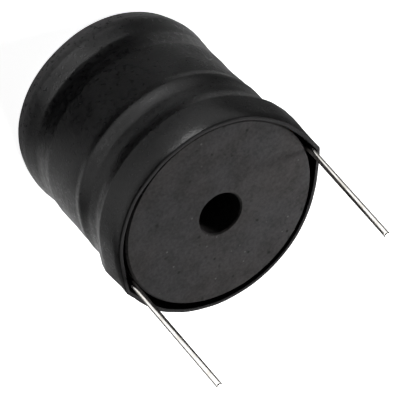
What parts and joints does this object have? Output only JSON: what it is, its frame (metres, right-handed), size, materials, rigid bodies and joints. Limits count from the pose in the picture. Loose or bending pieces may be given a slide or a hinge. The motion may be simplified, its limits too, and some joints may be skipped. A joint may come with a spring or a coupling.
{
  "type": "drum core inductor",
  "caption": "Round ferrite drum wound with copper wire in a black heat-shrink sleeve, with a central through-hole and wire leads at opposite sides of one flange.",
  "frame": {"origin": "middle of the back flange's face, on which the part stands", "axes": "+Z along the core's axis towards the flange that the leads leave; +X towards the finish lead, which lies 10 degrees from it round the axis"},
  "size_m": [0.0302, 0.0292, 0.0495],
  "materials": {
    "ferrite": "sintered and ground, matt dark grey",
    "copper_wire": "enamelled copper turns, bright tinned ends",
    "sleeve": "shrunk polyolefin tube, satin black"
  },
  "bodies": {
    "root": {"drum_core": "ferrite", "winding": "copper_wire", "sleeve": "sleeve"}
  },
  "joints": []
}
